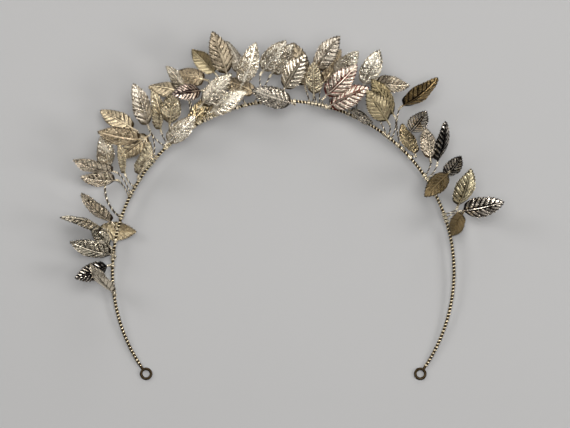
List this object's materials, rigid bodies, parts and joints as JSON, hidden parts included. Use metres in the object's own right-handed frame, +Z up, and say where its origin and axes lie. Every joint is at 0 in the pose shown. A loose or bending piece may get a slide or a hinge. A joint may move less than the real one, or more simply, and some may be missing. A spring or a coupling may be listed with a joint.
{
  "type": "leaf halo crown headband",
  "caption": "Open wire headband with twisted wire stems that carry small veined metal leaves round its arch like a halo, lying on its back.",
  "frame": {"origin": "on the ground, below the middle of the crown's outline, as it lies on its back", "axes": "+X from the wearer's right end of the band to the left end, as seen from the front, +Y towards the top of the halo, +Z up, out of the leaves' faces"},
  "size_m": [0.1966, 0.154, 0.0252],
  "materials": {
    "core_wire": "plated, satin",
    "binding_wire": "plated, polished",
    "stem_wire": "plated, polished",
    "leaf_pale": "stamped, plated in pale champagne, polished",
    "leaf_golden": "stamped, plated in old gold, polished"
  },
  "bodies": {
    "root": {"band_core": "core_wire", "band_wrap": "binding_wire", "stems": "stem_wire", "leaf_01": "leaf_pale", "leaf_02": "leaf_pale", "leaf_03": "leaf_pale", "leaf_04": "leaf_golden", "leaf_05": "leaf_pale", "leaf_06": "leaf_golden", "leaf_07": "leaf_golden", "leaf_08": "leaf_pale", "leaf_09": "leaf_pale", "leaf_10": "leaf_pale", "leaf_11": "leaf_pale", "leaf_12": "leaf_pale", "leaf_13": "leaf_golden", "leaf_14": "leaf_pale", "leaf_15": "leaf_pale", "leaf_16": "leaf_pale", "leaf_17": "leaf_pale", "leaf_18": "leaf_pale", "leaf_19": "leaf_golden", "leaf_20": "leaf_pale", "leaf_21": "leaf_pale", "leaf_22": "leaf_golden", "leaf_23": "leaf_pale", "leaf_24": "leaf_golden", "leaf_25": "leaf_pale", "leaf_26": "leaf_pale", "leaf_27": "leaf_golden", "leaf_28": "leaf_pale", "leaf_29": "leaf_pale", "leaf_30": "leaf_golden", "leaf_31": "leaf_pale", "leaf_32": "leaf_pale", "leaf_33": "leaf_pale", "leaf_34": "leaf_pale", "leaf_35": "leaf_pale", "leaf_36": "leaf_pale", "leaf_37": "leaf_golden", "leaf_38": "leaf_pale", "leaf_39": "leaf_golden", "leaf_40": "leaf_pale", "leaf_41": "leaf_pale", "leaf_42": "leaf_pale", "leaf_43": "leaf_pale", "leaf_44": "leaf_pale", "leaf_45": "leaf_golden", "leaf_46": "leaf_golden", "leaf_47": "leaf_pale", "leaf_48": "leaf_golden", "leaf_49": "leaf_pale", "leaf_50": "leaf_golden", "leaf_51": "leaf_golden", "leaf_52": "leaf_pale", "leaf_53": "leaf_pale", "leaf_54": "leaf_golden", "leaf_55": "leaf_pale", "leaf_56": "leaf_pale", "leaf_57": "leaf_golden"}
  },
  "joints": []
}
